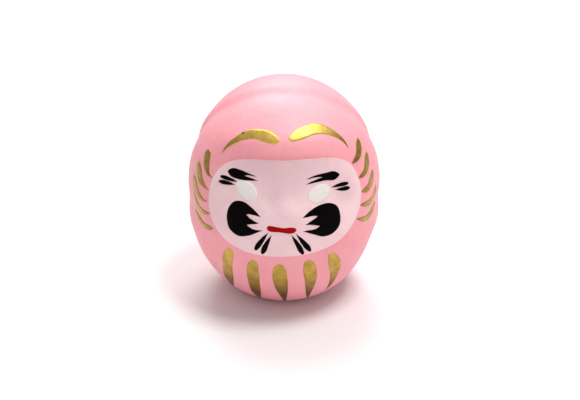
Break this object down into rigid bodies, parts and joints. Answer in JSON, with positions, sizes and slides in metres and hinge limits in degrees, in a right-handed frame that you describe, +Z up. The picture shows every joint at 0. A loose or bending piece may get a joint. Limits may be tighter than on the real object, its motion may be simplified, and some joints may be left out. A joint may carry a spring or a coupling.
{
  "type": "daruma doll",
  "caption": "Round-bottomed moulded paper daruma doll with a sunken painted face, gold brush marks and a clay weight in its base that rocks it back upright.",
  "frame": {"origin": "centre of the flat foot, at the mouth of the stick hole", "axes": "+Z up through the crown, the face looks towards -Y, +X is on the right as one faces the doll"},
  "size_m": [0.0768, 0.0779, 0.09],
  "materials": {
    "moulded_paper": "rough",
    "strip_paper": "matte",
    "clay": "rough",
    "glue": "satin",
    "pink_paint": "matte",
    "face_paint": "matte",
    "white_paint": "matte",
    "black_paint": "satin",
    "red_paint": "satin",
    "gold_paint": "metallic gold paint"
  },
  "bodies": {
    "root": {"shell_front": "moulded_paper", "shell_back": "moulded_paper", "seam_strip": "strip_paper", "base_weight": "clay", "weight_glue": "glue", "body_coat": "pink_paint", "face_coat": "face_paint", "eye_white_left": "white_paint", "eye_white_right": "white_paint", "eyebrow_left": "black_paint", "eyebrow_right": "black_paint", "temple_marks_left": "black_paint", "temple_marks_right": "black_paint", "beard_left": "black_paint", "beard_right": "black_paint", "chin_marks_left": "black_paint", "chin_marks_right": "black_paint", "mouth": "red_paint", "gold_brow_left": "gold_paint", "gold_brow_right": "gold_paint", "sleeve_fold_left_1": "gold_paint", "sleeve_fold_left_2": "gold_paint", "sleeve_fold_left_3": "gold_paint", "sleeve_fold_left_4": "gold_paint", "sleeve_fold_left_5": "gold_paint", "sleeve_fold_right_1": "gold_paint", "sleeve_fold_right_2": "gold_paint", "sleeve_fold_right_3": "gold_paint", "sleeve_fold_right_4": "gold_paint", "sleeve_fold_right_5": "gold_paint", "belly_stripe_1": "gold_paint", "belly_stripe_2": "gold_paint", "belly_stripe_3": "gold_paint", "belly_stripe_4": "gold_paint", "belly_stripe_5": "gold_paint"}
  },
  "joints": []
}
